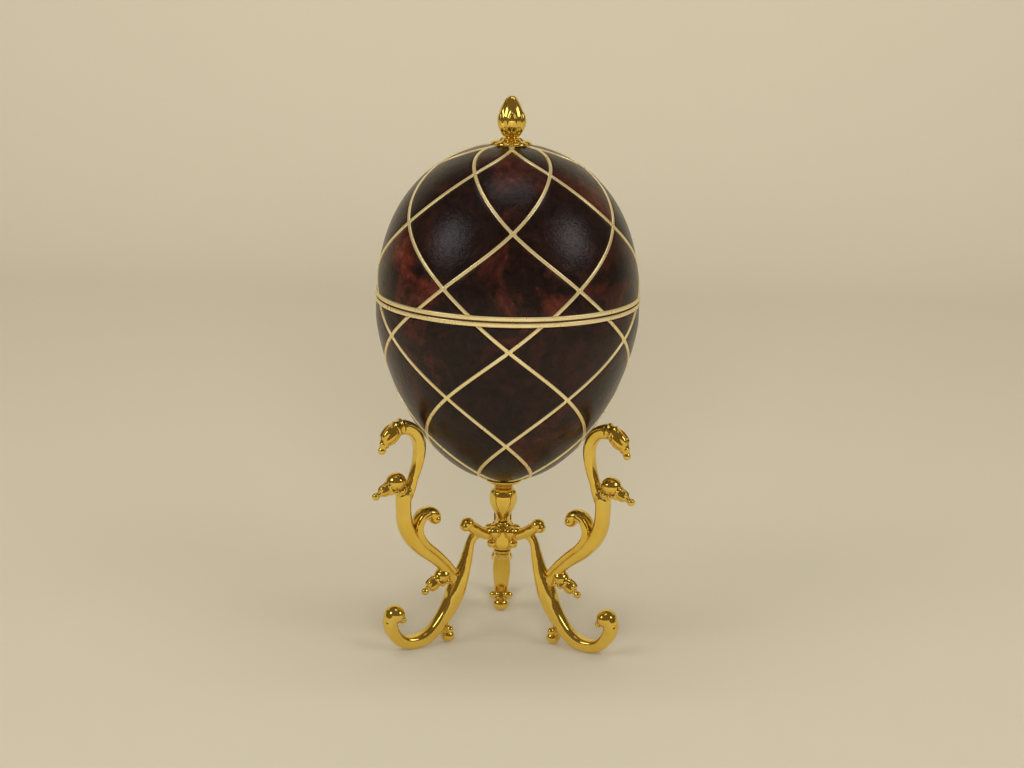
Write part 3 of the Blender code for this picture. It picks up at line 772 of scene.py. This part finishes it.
def add_knop(top):
    """A bud with three heart-shaped petals, and six knuckles round its shoulder."""
    foot = HUB_TOP + SEAT_GAP
    side = (
        (5.4, 0), (7.0, -1.0), (8.0, -3.4), (8.4, -6.4), (8.3, -9.4), (7.6, -12.4), (6.2, -15.6),
        (4.5, -18.6), (3.5, -20.6), (3.3, -21.6),
    )

    def relief(r, z, turn):
        down = (top - z) / (top - HUB_TOP)
        third = 2 * math.pi / 3
        across = np.abs((turn + third / 2) % third - third / 2)
        width = math.radians(58) * np.clip(1.02 - down, 0, 1) ** 0.75
        heart = smoothstep((width - across) / math.radians(9)) * smoothstep((down - 0.02) / 0.1)
        cleft = np.exp(-((across / math.radians(8)) ** 2)) * np.clip(1 - down * 1.5, 0, 1)
        return (0.45 * heart - 0.25 * cleft * heart) * (r > STUD_BORE + 0.3)

    curve = smooth_curve([*raised(side, top), (3.7, foot)], 90)
    parts = [revolve([(STUD_BORE, top), *curve, (STUD_BORE, foot)], 180, relief)]
    parts += [stem_ball(azimuth, 5.9, top - 4.3, 2.7) for azimuth in range(0, 360, 60)]
    add_fused("stem_petal_knop", parts, "stem_knop")


def add_hub():
    """A boss with a ball on each side of every leg's root and one under it."""
    boss = (
        (3.6, -SEAT_GAP), (5.2, -1.2), (6.6, -3.4), (7.4, -6.0), (7.6, -9.0), (7.8, -12.0), (7.9, -14.4),
        (7.2, -17.0),
    )
    curve = smooth_curve([*raised(boss, HUB_TOP), (6.0, HUB_BOTTOM + 0.5)], 60)
    outline = [(STUD_BORE, HUB_TOP - SEAT_GAP), *curve, (STUD_BORE, HUB_BOTTOM + 0.4)]
    parts = [revolve(outline, 96)]
    for azimuth in LEG_AZIMUTHS.values():
        parts += [stem_ball(azimuth + side * 24, 8.4, HUB_TOP - 5.8, 3.9) for side in (-1, 1)]
        parts.append(stem_ball(azimuth, 8.0, HUB_TOP - 14.0, 3.1))
    add_fused("lobed_hub", parts, "hub")


def add_dome_nut():
    """The waisted, domed nut under the hub."""
    dome = (
        (5.4, -SEAT_GAP), (5.9, -0.6), (5.7, -1.4), (4.6, -2.2), (4.9, -3.4), (4.2, -5.4), (2.2, -7.2),
        (0, -7.6),
    )
    socket = ((0, -4.6), (STUD_BORE, -4.6), (STUD_BORE, -SEAT_GAP))
    outline = raised([*socket, *smooth_curve(dome, 60)], HUB_BOTTOM)
    add_turned("hub_dome_nut", outline, CAST, "base", ["hub_cap_nut"], 120)


def add_fused(name, parts, replaced):
    """One cast piece of the stem, fused from overlapping solids about the axis."""
    mesh = fused_mesh(name, parts, STEM_VOXEL, STEM_SMOOTHING)
    mesh.transform(about_axis())
    finish_piece(name, mesh, CAST, "base", [replaced], 0)


def stem_ball(azimuth, reach, height, radius):
    """A ball on the stem, at this distance from the axis."""
    turn = math.radians(azimuth)
    return ball((reach * math.cos(turn), height, reach * math.sin(turn)), (radius,) * 3)


# ---------------------------------------------------------------- legs


def section_ring(half, wide, power, groove, sides=28):
    """A strap's cross-section: (in-plane, across) offsets, squared off, with grooved sides."""
    turn = 2 * math.pi * (np.arange(sides) + 0.5) / sides
    cosine, sine = np.cos(turn), np.sin(turn)
    inward = half * np.sign(cosine) * np.abs(cosine) ** (2 / power)
    across = wide * np.sign(sine) * np.abs(sine) ** (2 / power)
    if groove:
        across = across * (1 - groove * np.exp(-(((inward / half + 0.1) / 0.3) ** 2)))
    return inward, across


def swept_bar(points, power, widen, groove=0.0, across=0.0):
    """Points and faces of a bar along its centre line, with rounded ends.

    Its half width is the bar's half thickness times widen, or across where that is set.
    """
    points = np.asarray(points, float)
    length = np.hypot(*np.diff(points[:, :2], axis=0).T).sum()
    line = smooth_curve(points, max(8, int(length / ROW_SPACING)))
    tangent = np.gradient(line[:, :2], axis=0)
    tangent /= np.linalg.norm(tangent, axis=1)[:, None]
    rings = [(row[:2], along, row[2], 1.0) for row, along in zip(line, tangent)]
    for angle in np.radians([22, 42, 62, 82]):
        reach, shrink = BAR_END_BULGE * math.sin(angle), math.cos(angle)
        start = line[0, :2] - tangent[0] * line[0, 2] * reach
        end = line[-1, :2] + tangent[-1] * line[-1, 2] * reach
        rings.insert(0, (start, tangent[0], line[0, 2], shrink))
        rings.append((end, tangent[-1], line[-1, 2], shrink))
    cloud = []
    for place, along, half, shrink in rings:
        wide = across or half * widen
        inward, aside = section_ring(half * shrink, wide * shrink, power, groove)
        x, z = place[0] - along[1] * inward, place[1] + along[0] * inward
        cloud.append(np.stack([x, aside, z], axis=1))
    sides = len(cloud[0])
    faces = grid_faces(len(cloud), sides)
    faces += [list(range(sides))[::-1], list(range((len(cloud) - 1) * sides, len(cloud) * sides))]
    return np.concatenate(cloud), faces


def ball(centre, radii, along=(1, 0), segments=28):
    """An ellipsoid at (distance, height, offset across).

    Its radii run along its direction in the leg's plane, across that plane and over the direction.
    """
    reach, height, offset = centre
    polar = np.linspace(0, math.pi, segments // 2 + 1)[1:-1]
    turn = 2 * math.pi * np.arange(segments) / segments
    ahead = np.cos(polar)[:, None] * radii[0] + 0 * turn
    side = np.sin(polar)[:, None] * np.cos(turn) * radii[1]
    over = np.sin(polar)[:, None] * np.sin(turn) * radii[2]
    local = np.stack([ahead, side, over], axis=-1).reshape(-1, 3)
    local = np.vstack([local, [(radii[0], 0, 0), (-radii[0], 0, 0)]])
    along = np.asarray(along, float) / np.linalg.norm(along)
    x = reach + local[:, 0] * along[0] - local[:, 2] * along[1]
    z = height + local[:, 0] * along[1] + local[:, 2] * along[0]
    rows = len(polar)
    faces = grid_faces(rows, segments)
    tip, tail = rows * segments, rows * segments + 1
    for column in range(segments):
        following = (column + 1) % segments
        faces.append([tip, column, following])
        faces.append([tail, (rows - 1) * segments + following, (rows - 1) * segments + column])
    return np.stack([x, offset + local[:, 1], z], axis=1), faces


def ball_ring(centre, along, radius, radii, count, segments):
    """Balls in a ring round a neck that points along a direction in the leg's plane."""
    along = np.asarray(along, float) / np.linalg.norm(along)
    made = []
    for index in range(count):
        turn = 2 * math.pi * (index + 0.5) / count
        over, side = radius * math.cos(turn), radius * math.sin(turn)
        place = (centre[0] - along[1] * over, centre[1] + along[0] * over, side)
        made.append(ball(place, radii, along, segments))
    return made


def bead_ring(centre, along, radius, bead):
    """Eight small beads round a neck."""
    return ball_ring(centre, along, radius, (bead, bead, bead), 8, 14)


def petal_ring(centre, along, radius, petal):
    """Six long petals side by side round a bud."""
    return ball_ring(centre, along, radius, petal, 6, 20)


def collar(centre, along, radius, thick, squash=1.0):
    """A round moulding about a neck."""
    return ball((*centre, 0.0), (thick, radius, radius * squash), along)


def leg_parts():
    """Every solid that is cast as one leg, in the leg's own plane."""
    parts = []
    for name, points in LEG_BARS.items():
        across = INNER_SCROLL_HALF_WIDTH if name == "inner_scroll" else 0.0
        parts.append(swept_bar(points, *BAR_SECTIONS[name], across))
    return parts + upper_head() + middle_head() + lower_head() + scroll_ends()


def upper_head():
    """A petalled bud that hangs from the top scroll behind two moulded rings, with a bead at its tip."""
    neck = (
        (71, 147.4, 3.9), (75, 147.2, 4.3), (78.5, 145.9, 4.6), (81.8, 143.0, 4.5), (84.4, 139.4, 3.7),
        (86.2, 136.0, 2.5),
    )
    return [
        swept_bar(neck, 2.1, 1.05),
        collar((74.2, 147.4), (1, -0.12), 5.9, 1.3, 0.95),
        collar((77.2, 146.6), (1, -0.4), 5.5, 1.4, 0.95),
        *petal_ring((81.2, 143.2), (0.7, -0.71), 3.2, (6.0, 2.7, 2.6)),
        collar((85.7, 136.8), (0.5, -0.87), 3.5, 1.0),
        ball((87.2, 133.4, 0.0), (2.5, 2.5, 2.5)),
    ]


def middle_head():
    """A round head above a beaded collar, with a petalled beak that ends in a small ball."""
    return [
        swept_bar(((71.2, 103, 3.9), (72.6, 106, 4.2), (75, 109.5, 4.5)), 2.2, 1.05),
        ball((77.2, 112.6, 0.0), (6.4, 6.6, 5.7), (1, -0.12)),
        *bead_ring((76.8, 107.2), (0.15, 1), 5.3, 2.0),
        collar((82.4, 109.2), (0.86, -0.5), 4.6, 1.0),
        *petal_ring((85.0, 107.8), (0.86, -0.5), 2.2, (3.6, 1.9, 1.9)),
        swept_bar(((80, 110.6, 4.0), (85, 107.8, 3.0), (89.4, 105.3, 1.7)), 2.0, 1.1),
        ball((91.2, 104.4, 0.0), (2.5, 2.5, 2.5)),
    ]


def lower_head():
    """A smaller head of the same kind, low on the stem."""
    return [
        ball((43.6, 45.8, 0.0), (5.2, 5.6, 4.8), (1, -0.1)),
        swept_bar(((36, 43, 3.4), (42, 45, 4.2)), 2.2, 1.1),
        *bead_ring((43.8, 42.0), (0.3, 1), 4.8, 1.8),
        collar((48.0, 42.8), (0.8, -0.6), 4.7, 1.0),
        *petal_ring((50.6, 40.9), (0.78, -0.62), 2.5, (3.8, 2.1, 2.1)),
        swept_bar(((45.5, 44.2, 4.1), (50.6, 40.9, 3.2), (54.4, 37.9, 1.7)), 2.0, 1.1),
        ball((56.0, 36.6, 0.0), (2.4, 2.4, 2.4)),
    ]


def scroll_ends():
    """The rolled ends of the inner scroll, the hub scroll and the foot, and the heel's balls."""
    inner_roll = ((57.5, 88.9, 3.8), (53.6, 89.0, 4.2), (50.6, 87.2, 4.2), (49.4, 84.8, 3.4))
    foot_roll = ((80.4, 18.5, 4.2), (79.9, 22.5, 4.6), (78.6, 25.6, 4.9))
    return [
        swept_bar(inner_roll, 2.1, 1.35),
        ball((50.2, 85.0, 0.0), (3.9, 6.4, 3.9)),
        ball((25.8, 78.0, 0.0), (4.2, 4.9, 3.8), (1, 0.35)),
        ball((27.8, 76.0, 0.0), (3.3, 4.3, 3.2), (1, 0.2)),
        swept_bar(foot_roll, 2.3, 1.25),
        ball((77.0, 25.2, 0.0), (6.0, 7.4, 5.9)),
        ball((72.8, 21.2, 0.0), (2.6, 5.6, 2.6)),
        ball((39.3, 4.4, 0.0), (4.3, 5.2, 4.3)),
        *(ball((40.6, 10.4, side * 4.6), (2.5, 3.4, 2.6)) for side in (-1, 1)),
    ]


def join_parts(parts):
    """The points and faces of several solids as one list of each."""
    points, faces, start = [], [], 0
    for cloud, quads in parts:
        points.append(cloud)
        faces += [[index + start for index in quad] for quad in quads]
        start += len(cloud)
    return np.concatenate(points), faces


def fused_mesh(name, parts, voxels, rounds):
    """One closed skin over overlapping solids, from a fine voxel grid, lightly smoothed."""
    draft = 0
    points, faces = join_parts(parts)
    mesh = bpy.data.meshes.new(name)
    mesh.from_pydata((points * MM).tolist(), [], faces)
    weld(mesh)
    rough = bpy.data.objects.new(name, mesh)
    bpy.context.scene.collection.objects.link(rough)
    remesh = rough.modifiers.new("skin", "REMESH")
    remesh.mode = "VOXEL"
    remesh.voxel_size = voxels[draft] * MM
    smooth = rough.modifiers.new("smooth", "SMOOTH")
    smooth.factor = 0.5
    smooth.iterations = rounds[draft]
    graph = bpy.context.evaluated_depsgraph_get()
    made = bpy.data.meshes.new_from_object(rough.evaluated_get(graph))
    made.name = name
    bpy.data.objects.remove(rough)
    return made


def settle_on_floor(mesh):
    """Raises what lies under the floor up to it, as flat soles."""
    places = np.empty(len(mesh.vertices) * 3, np.float32)
    mesh.vertices.foreach_get("co", places)
    places[2::3] = np.maximum(places[2::3], 0.0)
    mesh.vertices.foreach_set("co", places)


def add_legs():
    """One casting, copied for each of the three legs."""
    mesh = fused_mesh("leg_casting", leg_parts(), LEG_VOXEL, LEG_SMOOTHING)
    settle_on_floor(mesh)
    for name, azimuth in LEG_AZIMUTHS.items():
        own = mesh.copy()
        own.transform(about_axis(azimuth))
        finish_piece(f"{name}_casting", own, CAST, "base", [name], 0)


def finish_fixings():
    """The hidden fixings keep their own shape and get machined steel."""
    fixings = [f"{rod}_{part}" for rod in ("finial", "tie_rod") for part in ("stud", "washer", "nut")]
    fixings += [name.replace("leg", "leg_stud") for name in LEG_AZIMUTHS]
    for name in fixings:
        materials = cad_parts[name].data.materials
        materials.clear()
        materials.append(STEEL)


# ---------------------------------------------------------------- stage


def add_stage():
    """A seamless paper sweep: floor, bend and wall."""
    line = [(y, 0.0) for y in SWEEP_FRONT[:-1]]
    line += [(y, 0.0) for y in np.linspace(SWEEP_FRONT[-1], SWEEP_BACK, 8)]
    for turn in np.linspace(0, math.pi / 2, 24)[1:]:
        line.append((SWEEP_BACK + SWEEP_BEND * math.sin(turn), SWEEP_BEND * (1 - math.cos(turn))))
    line.append((SWEEP_BACK + SWEEP_BEND, SWEEP_HEIGHT))
    sides = np.linspace(-SWEEP_HALF_WIDTH, SWEEP_HALF_WIDTH, 9)
    points = [(x, y, z) for y, z in line for x in sides]
    mesh = bpy.data.meshes.new("paper_sweep")
    mesh.from_pydata(points, [], grid_faces(len(line), len(sides), False))
    mesh.shade_smooth()
    mesh.materials.append(paper_material())
    sweep = bpy.data.objects.new("paper_sweep", mesh)
    bpy.context.scene.collection.objects.link(sweep)


def add_light(name, place, size, power, colour, target, diffuse):
    """A soft light that lights the diffuse surfaces, or one that shows in reflections instead."""
    data = bpy.data.lights.new(name, "AREA")
    data.shape = "RECTANGLE"
    data.size, data.size_y = size
    data.energy = power
    data.color = colour
    made = bpy.data.objects.new(name, data)
    bpy.context.scene.collection.objects.link(made)
    made.location = place
    made.rotation_euler = (Vector(target) - Vector(place)).to_track_quat("-Z", "Y").to_euler()
    made.visible_diffuse = diffuse
    made.visible_glossy = not diffuse


def add_lights():
    """Broad soft lights for the paper and the object, and cards for the polished surfaces."""
    warm, cool, white = (1.0, 0.98, 0.95), (0.90, 0.96, 1.0), (1.0, 0.97, 0.93)
    stand, floor, wall = (0, 0, 0.2), (0, 0, 0.05), (0, 2.0, 0.55)
    add_light("key_left", (-1.4, -0.9, 1.7), (1.0, 1.0), 8.5, warm, stand, True)
    add_light("key_right", (1.4, -0.9, 1.7), (1.0, 1.0), 8.5, warm, stand, True)
    add_light("fill_front", (0, -3.2, 1.15), (1.6, 0.8), 90, warm, floor, True)
    add_light("backdrop_wash", (0, 0.2, 2.2), (2.6, 0.6), 20, white, wall, True)
    egg = (0, 0, 0.25)
    add_light("card_left", (-1.085, -0.60, 0.95), (0.54, 0.54), 2.9, cool, egg, False)
    add_light("card_right", (1.136, -0.50, 0.95), (0.54, 0.54), 2.9, cool, egg, False)
    add_light("card_top", (0, -0.15, 1.9), (0.9, 0.6), 2.6, cool, egg, False)


def add_world():
    """A pale surround, which is darker and warmer in reflections."""
    world = bpy.data.worlds.new("studio")
    world.use_nodes = True
    tree = world.node_tree
    path = tree.nodes.new("ShaderNodeLightPath")
    mix = tree.nodes.new("ShaderNodeMix")
    mix.data_type = "RGBA"
    mix.inputs[6].default_value = (0.30, 0.288, 0.273, 1)
    mix.inputs[7].default_value = (0.10, 0.062, 0.034, 1)
    tree.links.new(path.outputs["Is Glossy Ray"], mix.inputs[0])
    tree.links.new(mix.outputs[2], tree.nodes["Background"].inputs["Color"])
    bpy.context.scene.world = world


def add_camera():
    """The photo's view, from above the seam and tilted down."""
    data = bpy.data.cameras.new("camera")
    data.lens = CAMERA_LENS
    data.sensor_width = 36
    data.clip_start, data.clip_end = 0.05, 20
    made = bpy.data.objects.new("camera", data)
    bpy.context.scene.collection.objects.link(made)
    place = Matrix.Translation(Vector((AXIS.x, AXIS.y, 0)) + Vector(CAMERA_PLACE))
    for angle, about in ((CAMERA_YAW, "Z"), (90 - CAMERA_TILT, "X"), (CAMERA_ROLL, "Z")):
        place = place @ Matrix.Rotation(math.radians(angle), 4, about)
    made.matrix_world = place
    bpy.context.scene.camera = made


def main():
    add_camera()
    add_egg()
    add_finial()
    add_stem()
    add_legs()
    finish_fixings()
    add_stage()
    add_lights()
    add_world()
    bpy.context.scene.view_settings.view_transform = "Standard"


main()
